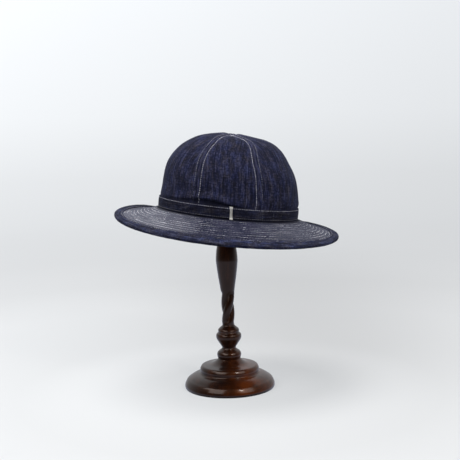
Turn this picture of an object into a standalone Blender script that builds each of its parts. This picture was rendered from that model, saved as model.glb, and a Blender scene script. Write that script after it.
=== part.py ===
"""Denim army hat resting on a turned wooden stand.

Metres, +Z up. The origin is the middle of the stand's underside. The hat's front looks along -X,
so the wearer's left side looks along -Y. The hat is modelled in its own frame, with Z = 0 at the
joint of crown and brim, and is then set on the domed head of the stand by one empty.
"""
import math
from collections import namedtuple

import bmesh
import bpy
from mathutils import Matrix, Vector

COLLECTION_NAME = "army_hat_on_stand"
CLEARANCE = 0.0003

# Crown: length and width are measured over the cloth at its foot
CROWN_LENGTH = 0.1949
CROWN_WIDTH = 0.1720
CROWN_HEIGHT = 0.1116
CROWN_WALL = 0.0015
APEX_DIP = 0.0032
PANEL_PUFF = 0.0020
PANEL_NAMES = ("rear_right", "right", "front_right", "front_left", "left", "rear_left")
PANEL_STEPS = 8
SEAM_ANGLES = tuple(math.radians(angle) for angle in (0.0, 60.0, 120.0, 180.0, 240.0, 298.2, 360.0))

# Band and its tab
BAND_HEIGHT = 0.0160
BAND_THICKNESS = 0.0012
TAB_WIDTH = 0.0047
TAB_THICKNESS = 0.0008
TAB_RISE = 0.0014
TAB_ANGLE = math.radians(-86.0)

# Brim and its binding
BRIM_WIDTH = 0.0648
BRIM_THICKNESS = 0.0020
BRIM_SLOPE = 0.330
BINDING_WIDTH = 0.0128
BINDING_THICKNESS = 0.0010

# How the hat sits on the stand
HAT_TILT = math.radians(7.0)
HAT_TURN = math.radians(-1.4)
HAT_SET_BACK = 0.0036

# Stand
STAND_HEIGHT = 0.3605
BASE_RADIUS = 0.0650
BASE_HEIGHT = 0.0420
COLUMN_RADIUS = 0.0181
COLUMN_HEIGHT = 0.1830
POLE_RADIUS = 0.0098
TENON_RADIUS = 0.0070
TENON_LENGTH = 0.0150
TWIST_GROOVE = 0.0024
TWIST_PITCH = 0.0850
TWIST_START = math.radians(105.5)
STRANDS = 3
HEAD_RADIUS = 0.0420
HEAD_DOME_RADIUS = 0.0500
HEAD_LIP_HEIGHT = 0.0080
HEAD_BOSS_RADIUS = 0.0140
HEAD_BOSS_HEIGHT = 0.0080
BASE_STEPS = 36
HEAD_STEPS = 24
HEAD_DOME_STEPS = 8
COLUMN_SIDES = 24

# Crown sections above the band. The height is a share of the rise from band to top, and so is
# the sag, by which a section is lower at the wearer's left and right. The front and rear reaches
# are shares of half the crown's length, and the puff is a share of the panels' full one
CrownRow = namedtuple("CrownRow", "height front rear puff sag")
CROWN_ROWS = (
    CrownRow(0.063, 0.995, 1.007, 0.0, 0.000),
    CrownRow(0.167, 0.984, 0.987, 0.3, 0.000),
    CrownRow(0.293, 0.977, 0.960, 0.7, 0.000),
    CrownRow(0.418, 0.958, 0.927, 1.0, 0.000),
    CrownRow(0.523, 0.931, 0.879, 1.0, 0.000),
    CrownRow(0.628, 0.877, 0.811, 1.0, 0.000),
    CrownRow(0.732, 0.798, 0.739, 1.0, 0.000),
    CrownRow(0.826, 0.692, 0.658, 1.0, 0.000),
    CrownRow(0.910, 0.559, 0.527, 1.0, 0.008),
    CrownRow(0.962, 0.404, 0.323, 0.7, 0.019),
    CrownRow(0.994, 0.230, 0.123, 0.3, 0.036),
    CrownRow(1.000, 0.150, 0.050, 0.1, 0.040),
)
APEX_SHIFT = -0.048

# Slack of the left side panel, which hangs over the band. Heights are shares of the band's
# height above its top edge, and the depth is a share of the wall of the crown
Fold = namedtuple("Fold", "angle half_angle height half_height depth")
CROWN_FOLDS = (
    Fold(math.radians(-99.0), math.radians(24.0), 0.38, 0.35, 1.4),
)

# The brim leaves the crown at one slope all round, and its edge then droops or lifts. The fall
# is that of the edge below the crown's foot, as a share of the brim's width, and so is the slope
RimRow = namedtuple("RimRow", "angle fall")
RIM_ROWS = (
    RimRow(0, 0.272),
    RimRow(30, 0.236),
    RimRow(60, 0.265),
    RimRow(90, 0.300),
    RimRow(120, 0.315),
    RimRow(150, 0.165),
    RimRow(180, 0.234),
    RimRow(210, 0.350),
    RimRow(240, 0.415),
    RimRow(270, 0.432),
    RimRow(300, 0.415),
    RimRow(330, 0.358),
)
BRIM_STATIONS = (0.25, 0.55)

# Turned profiles, listed from the top down. Each row ends a stretch; bulge is how far the
# stretch swells out (or, below zero, how far it is hollowed), and steps is how it is divided.
# The column's lengths are shares of its height and radius, and so are the base's
Turning = namedtuple("Turning", "height radius bulge steps")
COLUMN_ROWS = (
    Turning(1.000, 0.541, 0.0, 1),
    Turning(0.900, 0.729, -0.010, 3),
    Turning(0.774, 0.867, 0.028, 4),
    Turning(0.588, 0.624, 0.019, 4),
    Turning(0.545, 0.563, 0.0, 2),
    Turning(0.500, 0.525, 0.0, 3),
    Turning(0.288, 0.508, 0.0, 12),
    Turning(0.261, 0.464, 0.0, 2),
    Turning(0.240, 0.660, 0.0, 1),
    Turning(0.205, 0.751, 0.090, 4),
    Turning(0.200, 0.878, 0.0, 1),
    Turning(0.187, 0.995, 0.028, 2),
    Turning(0.157, 0.995, 0.011, 2),
    Turning(0.092, 0.580, 0.0, 1),
    Turning(0.080, 0.530, -0.010, 2),
    Turning(0.068, 0.640, 0.0, 1),
    Turning(0.000, 0.895, 0.188, 6),
)
TWIST_FOOT = 0.261
TWIST_HEAD = 0.545
TWIST_FADE = 0.040
BASE_ROWS = (
    Turning(1.000, 0.240, 0.0, 1),
    Turning(0.795, 0.465, -0.025, 4),
    Turning(0.767, 0.590, 0.0, 1),
    Turning(0.681, 0.652, 0.014, 3),
    Turning(0.560, 0.645, -0.003, 1),
    Turning(0.490, 0.680, -0.006, 2),
    Turning(0.330, 0.905, 0.016, 3),
    Turning(0.226, 0.968, 0.010, 2),
    Turning(0.095, 1.000, 0.004, 1),
    Turning(0.029, 0.998, 0.002, 1),
    Turning(0.000, 0.988, 0.003, 1),
)

CrownRing = namedtuple("CrownRing", "centre half_length half_width height out up puff sag")


def make_material(name, colour, roughness):
    material = bpy.data.materials.new(name)
    material.use_nodes = True
    shader = material.node_tree.nodes["Principled BSDF"]
    shader.inputs["Base Color"].default_value = (*colour, 1.0)
    shader.inputs["Roughness"].default_value = roughness
    shader.inputs["Metallic"].default_value = 0.0
    material.diffuse_color = (*colour, 1.0)
    return material


def smooth_step(value):
    value = min(max(value, 0.0), 1.0)
    return value * value * (3.0 - 2.0 * value)


def bump(distance, half_width):
    """One at the middle of a fold and zero at its ends."""
    share = abs(distance) / half_width
    return math.cos(0.5 * math.pi * share) ** 2 if share < 1.0 else 0.0


def signed_angle(angle):
    return (angle + math.pi) % (2.0 * math.pi) - math.pi


def plan_radius(half_length, half_width, angle):
    return 1.0 / math.hypot(math.cos(angle) / half_length, math.sin(angle) / half_width)


def foot_point(angle, offset):
    """A point of the oval at the crown's foot, moved out square to the oval by the offset."""
    half_length, half_width = 0.5 * CROWN_LENGTH, 0.5 * CROWN_WIDTH
    radius = plan_radius(half_length, half_width, angle)
    x, y = radius * math.cos(angle), radius * math.sin(angle)
    normal = Vector((x / half_length ** 2, y / half_width ** 2)).normalized()
    return x + normal.x * offset, y + normal.y * offset


def crown_rings():
    """Oval sections from the brim to the top, each with the way out of the cloth there."""
    half_length = 0.5 * CROWN_LENGTH
    slimness = CROWN_WIDTH / CROWN_LENGTH
    top_of_band = BAND_HEIGHT + CLEARANCE
    rise = CROWN_HEIGHT - top_of_band
    sections = [(0.0, half_length, CLEARANCE, 0.0, 0.0), (0.0, half_length, top_of_band, 0.0, 0.0)]
    for row in CROWN_ROWS:
        centre = 0.5 * (row.rear - row.front) * half_length
        reach = 0.5 * (row.rear + row.front) * half_length
        sections.append((centre, reach, top_of_band + row.height * rise, row.puff, row.sag * rise))
    apex = (APEX_SHIFT * half_length, 0.0, CROWN_HEIGHT - APEX_DIP)
    rings = []
    for index, (centre, reach, height, puff, sag) in enumerate(sections):
        below = sections[max(index - 1, 0)]
        above = (sections + [apex])[index + 1]
        slope = Vector((above[2] - below[2], below[1] - above[1])).normalized()
        out, up = (1.0, 0.0) if index < 2 else (slope.x, slope.y)
        rings.append(CrownRing(centre, reach, reach * slimness, height, out, up, puff, sag))
    return rings, Vector((apex[0], 0.0, apex[2]))


def fold_depth(angle, height):
    depth = 0.0
    for fold in CROWN_FOLDS:
        sideways = bump(signed_angle(angle - fold.angle), fold.half_angle)
        level = BAND_HEIGHT * (1.0 + fold.height)
        depth += fold.depth * CROWN_WALL * sideways * bump(height - level, fold.half_height * BAND_HEIGHT)
    return depth


def crown_point(ring, angle, across, inset):
    """Across runs from 0 at one seam of the panel to 1 at the other."""
    swell = PANEL_PUFF * ring.puff * math.sin(math.pi * across) ** 2
    proud = swell + fold_depth(angle, ring.height) - inset
    reach = plan_radius(ring.half_length, ring.half_width, angle) + proud * ring.out
    x, y = ring.centre + reach * math.cos(angle), reach * math.sin(angle)
    return Vector((x, y, ring.height + proud * ring.up - ring.sag * abs(math.sin(angle))))


def new_object(name, mesh, material, collection, parent=None):
    thing = bpy.data.objects.new(name, mesh)
    mesh.materials.append(material)
    mesh.shade_smooth()
    mesh.set_sharp_from_angle(angle=math.radians(35.0))
    collection.objects.link(thing)
    thing.parent = parent
    return thing


def mesh_from(name, points, faces):
    shape = bmesh.new()
    corners = [shape.verts.new(point) for point in points]
    for face in faces:
        shape.faces.new([corners[index] for index in face])
    bmesh.ops.recalc_face_normals(shape, faces=shape.faces)
    mesh = bpy.data.meshes.new(name)
    shape.to_mesh(mesh)
    shape.free()
    return mesh


def panel_grids(index):
    """Outer and inner rows of points of one panel, moved out so that the seams stay open."""
    rings, apex = crown_rings()
    start, span = SEAM_ANGLES[index], SEAM_ANGLES[index + 1] - SEAM_ANGLES[index]
    middle = start + 0.5 * span
    shift = Vector((math.cos(middle), math.sin(middle), 0.0)) * CLEARANCE
    grids = []
    for inset in (0.0, CROWN_WALL):
        rows = []
        for ring in rings:
            shares = [step / PANEL_STEPS for step in range(PANEL_STEPS + 1)]
            rows.append([crown_point(ring, start + a * span, a, inset) + shift for a in shares])
        grids.append((rows, apex - Vector((0.0, 0.0, inset)) + shift))
    return grids


def crown_panel_mesh(name, index):
    points, faces = [], []
    row_length = PANEL_STEPS + 1
    for rows, apex in panel_grids(index):
        points += [point for row in rows for point in row] + [apex]
    row_count = (len(points) // 2 - 1) // row_length
    inner = len(points) // 2
    outer_apex = inner - 1
    inner_apex = len(points) - 1
    for row in range(row_count - 1):
        for step in range(PANEL_STEPS):
            a = row * row_length + step
            quad = (a, a + 1, a + 1 + row_length, a + row_length)
            faces += [quad, tuple(inner + corner for corner in reversed(quad))]
        for a in (row * row_length, row * row_length + PANEL_STEPS):
            faces.append((a, a + row_length, inner + a + row_length, inner + a))
    last = (row_count - 1) * row_length
    for step in range(PANEL_STEPS):
        faces.append((step, step + 1, inner + step + 1, inner + step))
        faces.append((last + step, last + step + 1, outer_apex))
        faces.append((inner + last + step + 1, inner + last + step, inner_apex))
    for a in (last, last + PANEL_STEPS):
        faces.append((a, outer_apex, inner_apex, inner + a))
    return mesh_from(name, points, faces)


def round_the_crown(name, section):
    """A closed ring whose cross-section at each angle is the list that section returns.

    Each facet is split from its inner corner to the next outer one, so cloths that lie on each
    other are split alike and keep their gap.
    """
    count = PANEL_STEPS * len(PANEL_NAMES)
    points, faces = [], []
    for step in range(count):
        points += section(2.0 * math.pi * step / count)
    size = len(points) // count
    for step in range(count):
        here, there = step * size, (step + 1) % count * size
        for corner in range(size):
            after = (corner + 1) % size
            a, b, c, d = here + corner, here + after, there + after, there + corner
            if points[a].xy.length < points[b].xy.length:
                faces += [(a, b, c), (a, c, d)]
            else:
                faces += [(a, b, d), (b, c, d)]
    return mesh_from(name, points, faces)


def band_offset():
    """Distance from the crown's cloth to the inside of the band, over the moved-out panels."""
    return 2.0 * CLEARANCE


def band_section(angle):
    inside = foot_point(angle, band_offset())
    outside = foot_point(angle, band_offset() + BAND_THICKNESS)
    corners = ((inside, CLEARANCE), (outside, CLEARANCE), (outside, BAND_HEIGHT), (inside, BAND_HEIGHT))
    return [Vector((x, y, height)) for (x, y), height in corners]


def rim_fall(angle):
    """Fall of the brim's edge, on one smooth wave through the rows of the table."""
    count = len(RIM_ROWS)
    place = (math.degrees(angle) % 360.0) / (360.0 / count)
    row = int(place) % count
    t = place - int(place)
    a, b, c, d = (RIM_ROWS[(row + step) % count].fall for step in (-1, 0, 1, 2))
    wave = b + 0.5 * t * (c - a + t * (2.0 * a - 5.0 * b + 4.0 * c - d + t * (3.0 * (b - c) + d - a)))
    return BRIM_WIDTH * wave


def brim_point(angle, along, proud):
    """Along is the distance down the brim from the crown's foot; proud is square to the cloth."""
    rim = rim_fall(angle)
    reach = math.sqrt(BRIM_WIDTH ** 2 - rim ** 2)
    cone = BRIM_SLOPE * BRIM_WIDTH
    share = along / BRIM_WIDTH
    fall = cone * share + (rim - cone) * share ** 3
    steepness = (cone + 3.0 * (rim - cone) * share ** 2) / reach
    way_out = Vector((steepness, 1.0)).normalized() * proud
    x, y = foot_point(angle, share * reach + way_out.x)
    return Vector((x, y, way_out.y - fall))


def binding_start():
    return BRIM_WIDTH - BINDING_WIDTH


def brim_edge():
    return BRIM_WIDTH - BINDING_THICKNESS - CLEARANCE


def brim_section(angle):
    lip_x, lip_y = foot_point(angle, -CROWN_WALL - CLEARANCE)
    stations = [0.0] + [share * BRIM_WIDTH for share in BRIM_STATIONS] + [binding_start(), brim_edge()]
    upper = [Vector((lip_x, lip_y, 0.0))] + [brim_point(angle, along, 0.0) for along in stations]
    lower = [Vector((lip_x, lip_y, -BRIM_THICKNESS))]
    lower += [brim_point(angle, along, -BRIM_THICKNESS) for along in stations]
    return upper + lower[::-1]


def binding_section(angle):
    above = CLEARANCE + BINDING_THICKNESS
    below = -BRIM_THICKNESS - above
    nose = 0.25 * (above - below)
    middle = 0.5 * (above + below)
    start, edge, inside = binding_start(), brim_edge(), brim_edge() + CLEARANCE
    outline = (
        (start, above), (edge, above), (BRIM_WIDTH, middle + nose), (BRIM_WIDTH, middle - nose),
        (edge, below), (start, below), (start, -BRIM_THICKNESS - CLEARANCE),
        (inside, -BRIM_THICKNESS - CLEARANCE), (inside, CLEARANCE), (start, CLEARANCE),
    )
    return [brim_point(angle, along, proud) for along, proud in outline]


def add_tab(material, collection, parent):
    """A short tape that stands over the band, from the brim to just above the band's edge."""
    height = BAND_HEIGHT + TAB_RISE - CLEARANCE
    offset = band_offset() + BAND_THICKNESS + CLEARANCE + 0.5 * TAB_THICKNESS
    x, y = foot_point(TAB_ANGLE, offset)
    ahead_x, ahead_y = foot_point(TAB_ANGLE, offset + BRIM_WIDTH)
    shape = bmesh.new()
    bmesh.ops.create_cube(shape, size=1.0)
    bmesh.ops.scale(shape, vec=(TAB_THICKNESS, TAB_WIDTH, height), verts=shape.verts)
    mesh = bpy.data.meshes.new("band_tab")
    shape.to_mesh(mesh)
    shape.free()
    tab = new_object("band_tab", mesh, material, collection, parent)
    tab.location = (x, y, CLEARANCE + 0.5 * height)
    tab.rotation_euler = (0.0, 0.0, math.atan2(ahead_y - y, ahead_x - x))
    bevel = tab.modifiers.new("soft_edges", "BEVEL")
    bevel.width = 0.25 * TAB_THICKNESS
    bevel.segments = 1


def turned_outline(rows, height, radius, floor):
    """Points (radius, height) down a turned profile whose rows are shares of height and radius."""
    outline = [(rows[0].radius * radius, floor + rows[0].height * height)]
    for row in rows[1:]:
        start = Vector(outline[-1])
        end = Vector((row.radius * radius, floor + row.height * height))
        run = (end - start).normalized()
        outward = Vector((-run.y, run.x))
        for step in range(1, row.steps + 1):
            t = step / row.steps
            point = start.lerp(end, t) + outward * (row.bulge * radius * 4.0 * t * (1.0 - t))
            outline.append((point.x, point.y))
    return outline


def add_turned(name, outline, steps, material, collection):
    mesh = bpy.data.meshes.new(name)
    points = [(radius, 0.0, height) for radius, height in outline]
    mesh.from_pydata(points, [(index, index + 1) for index in range(len(points) - 1)], [])
    thing = bpy.data.objects.new(name, mesh)
    mesh.materials.append(material)
    collection.objects.link(thing)
    screw = thing.modifiers.new("turn", "SCREW")
    screw.axis = "Z"
    screw.steps = steps
    screw.render_steps = steps
    screw.use_merge_vertices = True
    screw.merge_threshold = 0.00005
    screw.use_smooth_shade = True
    return thing


def column_foot():
    return BASE_HEIGHT + CLEARANCE


def socket_radius():
    return TENON_RADIUS + CLEARANCE


def head_underside():
    dome_fall = HEAD_DOME_RADIUS - math.sqrt(HEAD_DOME_RADIUS ** 2 - HEAD_RADIUS ** 2)
    return STAND_HEIGHT - dome_fall - HEAD_LIP_HEIGHT


def head_foot():
    return head_underside() - HEAD_BOSS_HEIGHT


def add_base(material, collection):
    floor_of_socket = BASE_HEIGHT - TENON_LENGTH - CLEARANCE
    outline = [(0.0, floor_of_socket), (socket_radius(), floor_of_socket), (socket_radius(), BASE_HEIGHT)]
    outline += turned_outline(BASE_ROWS, BASE_HEIGHT, BASE_RADIUS, 0.0) + [(0.0, 0.0)]
    add_turned("stand_base", outline, BASE_STEPS, material, collection)


def add_head(material, collection):
    """Domed top that carries the crown, with a blind socket for the column's upper tenon."""
    slope = math.asin(HEAD_RADIUS / HEAD_DOME_RADIUS)
    dome_centre = STAND_HEIGHT - HEAD_DOME_RADIUS
    outline = []
    for step in range(HEAD_DOME_STEPS + 1):
        turn = slope * step / HEAD_DOME_STEPS
        outline.append((HEAD_DOME_RADIUS * math.sin(turn), dome_centre + HEAD_DOME_RADIUS * math.cos(turn)))
    underside, foot = head_underside(), head_foot()
    ceiling = foot + TENON_LENGTH + CLEARANCE
    outline += [
        (HEAD_RADIUS, underside + 0.5 * HEAD_LIP_HEIGHT),
        (HEAD_RADIUS - 0.4 * HEAD_LIP_HEIGHT, underside),
        (HEAD_BOSS_RADIUS, underside),
        (HEAD_BOSS_RADIUS, foot),
        (socket_radius(), foot),
        (socket_radius(), ceiling),
        (0.0, ceiling),
    ]
    add_turned("stand_head", outline, HEAD_STEPS, material, collection)


def strand_relief(height):
    """Share of the full groove depth, faded at both ends of the twisted stretch."""
    share = (height - column_foot()) / COLUMN_HEIGHT
    return smooth_step((share - TWIST_FOOT) / TWIST_FADE) * smooth_step((TWIST_HEAD - share) / TWIST_FADE)


def helix_turn(height):
    foot = column_foot() + TWIST_FOOT * COLUMN_HEIGHT
    head = column_foot() + TWIST_HEAD * COLUMN_HEIGHT
    return 2.0 * math.pi * (min(max(height, foot), head) - foot) / TWIST_PITCH


def column_ring(radius, height):
    """A round section, cut by the grooves between the strands where the column is twisted."""
    ring = []
    for side in range(COLUMN_SIDES):
        turn = 2.0 * math.pi * side / COLUMN_SIDES
        from_groove = turn % (2.0 * math.pi / STRANDS)
        from_strand = abs(from_groove - math.pi / STRANDS)
        depth = (1.0 - math.cos(from_strand)) / (1.0 - math.cos(math.pi / STRANDS))
        reach = radius - TWIST_GROOVE * strand_relief(height) * depth
        angle = TWIST_START + helix_turn(height) + turn
        ring.append(Vector((reach * math.cos(angle), reach * math.sin(angle), height)))
    return ring


def add_post(material, collection):
    """The turned column with its tenons, from the base's socket to the head's."""
    foot, shoulder = column_foot(), head_foot() - CLEARANCE
    outline = [(TENON_RADIUS, shoulder + TENON_LENGTH), (TENON_RADIUS, shoulder), (POLE_RADIUS, shoulder)]
    outline += turned_outline(COLUMN_ROWS, COLUMN_HEIGHT, COLUMN_RADIUS, foot)
    outline += [(TENON_RADIUS, foot), (TENON_RADIUS, foot - TENON_LENGTH)]
    points = [point for radius, height in outline for point in column_ring(radius, height)]
    faces = [tuple(range(COLUMN_SIDES)), tuple(range(len(points) - COLUMN_SIDES, len(points)))]
    for row in range(len(outline) - 1):
        for side in range(COLUMN_SIDES):
            a, b = row * COLUMN_SIDES + side, row * COLUMN_SIDES + (side + 1) % COLUMN_SIDES
            faces.append((a, b, b + COLUMN_SIDES, a + COLUMN_SIDES))
    new_object("stand_post", mesh_from("stand_post", points, faces), material, collection)


def head_surface(x, y):
    """Height of the domed head over a point of the floor, or None beside the dome."""
    distance = math.hypot(x, y)
    if distance >= HEAD_RADIUS:
        return None
    return STAND_HEIGHT - HEAD_DOME_RADIUS + math.sqrt(HEAD_DOME_RADIUS ** 2 - distance ** 2)


def ceiling_points():
    """Points of the crown's inside: the corners of each facet and its middle."""
    for index in range(len(PANEL_NAMES)):
        rows, apex = panel_grids(index)[1]
        rows = rows + [[apex] * (PANEL_STEPS + 1)]
        for lower, upper in zip(rows, rows[1:]):
            for step in range(PANEL_STEPS):
                corners = (lower[step], lower[step + 1], upper[step + 1], upper[step])
                yield from corners
                yield sum(corners, Vector()) / 4.0
                yield 0.5 * (corners[0] + corners[2])
                yield 0.5 * (corners[1] + corners[3])


def seat_matrix():
    """Tilts and turns the hat and lowers it until its inside meets the domed head."""
    tilt = Matrix.Rotation(HAT_TILT, 4, "Y") @ Matrix.Rotation(HAT_TURN, 4, "Z")
    aside = Matrix.Translation((HAT_SET_BACK, 0.0, 0.0)) @ tilt
    height = 0.0
    for point in ceiling_points():
        placed = aside @ point
        dome = head_surface(placed.x, placed.y)
        if dome is not None:
            height = max(height, dome + CLEARANCE - placed.z)
    return Matrix.Translation((0.0, 0.0, height)) @ aside


def main():
    for thing in list(bpy.data.objects):
        bpy.data.objects.remove(thing, do_unlink=True)
    collection = bpy.data.collections.new(COLLECTION_NAME)
    bpy.context.scene.collection.children.link(collection)

    denim = make_material("denim", (0.016, 0.020, 0.055), 0.85)
    band_denim = make_material("band_denim", (0.010, 0.012, 0.034), 0.85)
    brim_denim = make_material("brim_denim", (0.060, 0.065, 0.110), 0.90)
    tape = make_material("tape", (0.58, 0.57, 0.53), 0.75)
    wood = make_material("wood", (0.050, 0.014, 0.008), 0.25)

    hat_seat = bpy.data.objects.new("hat_seat", None)
    collection.objects.link(hat_seat)
    hat_seat.matrix_world = seat_matrix()

    for index, side in enumerate(PANEL_NAMES):
        name = "crown_panel_" + side
        new_object(name, crown_panel_mesh(name, index), denim, collection, hat_seat)
    new_object("crown_band", round_the_crown("crown_band", band_section), band_denim, collection, hat_seat)
    add_tab(tape, collection, hat_seat)
    new_object("brim", round_the_crown("brim", brim_section), brim_denim, collection, hat_seat)
    binding = round_the_crown("brim_binding", binding_section)
    new_object("brim_binding", binding, band_denim, collection, hat_seat)

    add_base(wood, collection)
    add_post(wood, collection)
    add_head(wood, collection)
    bpy.context.view_layer.update()


main()
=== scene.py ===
"""Looks of the denim army hat on its turned wooden stand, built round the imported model.

Metres, +Z up, the model's own frame. The hat's pieces are made in the hat's frame, with Z = 0 at
the joint of crown and brim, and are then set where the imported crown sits.
"""
import math

import bmesh
import bpy
import numpy as np
from mathutils import Matrix, Vector, noise


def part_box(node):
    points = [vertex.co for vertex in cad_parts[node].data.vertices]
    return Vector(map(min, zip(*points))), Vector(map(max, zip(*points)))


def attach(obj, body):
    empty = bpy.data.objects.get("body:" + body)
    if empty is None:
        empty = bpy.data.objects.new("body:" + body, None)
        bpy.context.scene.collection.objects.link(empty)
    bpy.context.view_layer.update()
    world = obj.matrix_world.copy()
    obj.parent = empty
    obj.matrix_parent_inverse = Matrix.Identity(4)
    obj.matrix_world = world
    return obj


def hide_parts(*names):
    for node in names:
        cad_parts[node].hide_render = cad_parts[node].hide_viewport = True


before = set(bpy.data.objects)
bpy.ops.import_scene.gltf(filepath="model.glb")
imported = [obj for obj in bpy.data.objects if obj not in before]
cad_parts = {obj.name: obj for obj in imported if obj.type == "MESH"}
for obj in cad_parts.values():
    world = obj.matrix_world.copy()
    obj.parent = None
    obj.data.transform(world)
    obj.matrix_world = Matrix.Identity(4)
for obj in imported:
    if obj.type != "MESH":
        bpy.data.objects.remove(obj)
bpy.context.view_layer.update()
MM = 0.001
TURN = 2 * math.pi
ROUND_STEPS = 480

# The hat's sizes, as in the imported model
CROWN_LENGTH = 0.1949
CROWN_WIDTH = 0.172
CROWN_HEIGHT = 0.1116
CROWN_WALL = 0.0015
APEX_DIP = 0.0032
APEX_SHIFT = -0.048
PANEL_PUFF = 0.002
PANEL_NAMES = ("rear_right", "right", "front_right", "front_left", "left", "rear_left")
SEAM_ANGLES = np.radians((0, 60, 120, 180, 240, 298.2, 360))
BAND_HEIGHT = 0.016
BAND_WALL = 0.0012
BAND_GAP = 0.0006
TAB_WIDTH = 0.0047
TAB_WALL = 0.0008
TAB_RISE = 0.0014
TAB_ANGLE = math.radians(-86)
TAB_PINCH = 0.3
TAB_SLANT = 0.0013
BRIM_WIDTH = 0.0648
BRIM_WALL = 0.002
BRIM_SLOPE = 0.33
BINDING_WIDTH = 0.0128
BINDING_WALL = 0.001
FOOT_GAP = 0.0003
HAT_TILT = math.radians(7)
HAT_TURN = math.radians(-1.4)
HAT_SET_BACK = 0.0036

# Crown sections above the band, in shares of the rise or of half the length: height, reach to
# the front and to the rear, puff of the panels, and sag at the sides
CROWN_ROWS = (
    (0.063, 0.995, 1.007, 0, 0),
    (0.167, 0.984, 0.987, 0.3, 0),
    (0.293, 0.977, 0.96, 0.7, 0),
    (0.418, 0.958, 0.927, 1, 0),
    (0.523, 0.931, 0.879, 1, 0),
    (0.628, 0.877, 0.811, 1, 0),
    (0.732, 0.798, 0.739, 1, 0),
    (0.826, 0.692, 0.658, 1, 0),
    (0.91, 0.559, 0.527, 1, 0.008),
    (0.962, 0.404, 0.323, 0.7, 0.019),
    (0.994, 0.23, 0.123, 0.3, 0.036),
    (1, 0.15, 0.05, 0.1, 0.04),
)

# Fall of the brim's edge, a share of its width, every 30 degrees from the rear. At the rear right
# it lies up to 1.8 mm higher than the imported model's
RIM_FALLS = (0.27, 0.21, 0.238, 0.3, 0.315, 0.165, 0.234, 0.35, 0.415, 0.432, 0.415, 0.358)

# Slack of the left panel, which hangs over the band: at an angle in degrees, where its lip lies
# above the band and how far it stands out
FOLD_ROWS = (
    (-170, 0.003, 0),
    (-155, 0.0038, 0.0006),
    (-138, 0.0044, 0.0009),
    (-121, 0.0074, 0.0018),
    (-108, 0.0082, 0.0034),
    (-99, 0.0068, 0.0036),
    (-90, 0.0042, 0.0026),
    (-81, 0.0028, 0.0016),
    (-70, 0.0018, 0),
)
FOLD_SWELL = 0.011
FOLD_TURN = 0.0024
FOLD_RECESS = 0.0014
FOLD_ONSET = 0.002
WOBBLE = 0.0004
WOBBLE_RATE = 0.9

# Ripples of the cloths: layers of height in metres (or a share), size of the bumps and seed
NOISE_STEP = (17.3, 5.1, -9.7)
CLOTH_WAVE = 0.0006
CROWN_RIPPLES = ((1, 0.032, 1), (0.45, 0.013, 2))
BAND_RIPPLES = ((0.00028, 0.016, 3),)
PUCKER_DEPTH = 0.00015
PUCKERS = ((1, 0.0026, 5), (0.8, 0.011, 6))
BINDING_RIPPLES = ((0.0002, 0.0045, 7), (0.00025, 0.018, 8))
BINDING_SHIFTS = ((0.0003, 0.012, 9),)

# Seams of the crown
ALLOWANCE = 0.0054
SEAM_RISE = 0.00045
SEAM_STEP = 0.0009
SEAM_GROOVE = 0.0008
SEAM_GROOVE_WIDTH = 0.00045
ROW_OFFSET = 0.0044
ROW_GROOVE = 0.00025
ROW_GROOVE_WIDTH = 0.0004
FAR_SAG = -0.25

# Heights over the band, and distances from the crown's axis, over which its relief sets in
RIPPLE_HEIGHT = 0.02
RIPPLE_REACH = 0.03
SEAM_START = 0.001
SEAM_HEIGHT = 0.003
SEAM_REACH = 0.008
POLE_REACH = 0.004
TINY = 0.000001

# How rubbed the crown is beside its seams, and how dark the painted shade is below the tuck's lip
WEAR_WIDTH = 0.001
ALLOWANCE_WEAR = 0.5
WEAR_START = 0.3
WEAR_RISE = 0.5
LIP_SHADE_SHARE = 0.75
TUCK_DEPTH = 0.0012
TUCK_EDGE = 0.1

# Distances from a seam and shares of the profile at which a panel has its points
NEAR_SEAM = np.array((0, 0.25, 0.5, 0.9, 1.5, 2.3, 3.1, 3.7, 4.1, 4.4, 4.7, 5.1, 5.6, 6.2)) * MM
PANEL_ROWS = np.concatenate([np.linspace(0, 0.08, 6)[:-1], np.linspace(0.08, 0.2, 34)[:-1],
                             np.linspace(0.2, 1, 62)])
PANEL_STEPS = 22
NARROW_HALF = 0.009
PROFILE_ROWS = np.linspace(0, 1, 400)
PROFILE_STEPS = 800
# How far apart the panels' cloths lie in their own places, so that no two look the same
PANEL_ACROSS = 0.37
PANEL_ALONG = 0.11

# Stitches
STITCH_LENGTH = 0.0023
STITCH_GAP = 0.0006
STITCH_JITTER = 0.12
STITCH_TAPER = 0.22
QUILT_TAPER = 0.08
STITCH_LIFT = 0.35
THREAD = 0.00055
BRIGHT_THREAD = 0.00085
QUILT_THREAD = 0.00095
TOP_THREAD = 0.00065
LOOSE_RISE = 0.0004
ROW_MARK = 0.37
SEAM_ROW_START = 0.002
SEAM_ROW_END = 0.98
APEX_NEAR = 0.0004
APEX_FAR = 0.008
APEX_TURNS = np.radians((-25, -5, 15, 40, 70, 110, 150, 190))
QUILT_KIND = {"length": 0.0036, "gap": 0.0002, "jitter": 0.1, "skip": 0.02, "loose": 0.03}

# A thread's ten points are its start, two rings of four and its end
THREAD_POINTS = 10
THREAD_FACES = (
    [(0, 1 + (k + 1) % 4, 1 + k) for k in range(4)],
    [(9, 5 + k, 5 + (k + 1) % 4) for k in range(4)],
    [(1 + k, 1 + (k + 1) % 4, 5 + (k + 1) % 4, 5 + k) for k in range(4)],
)

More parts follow.
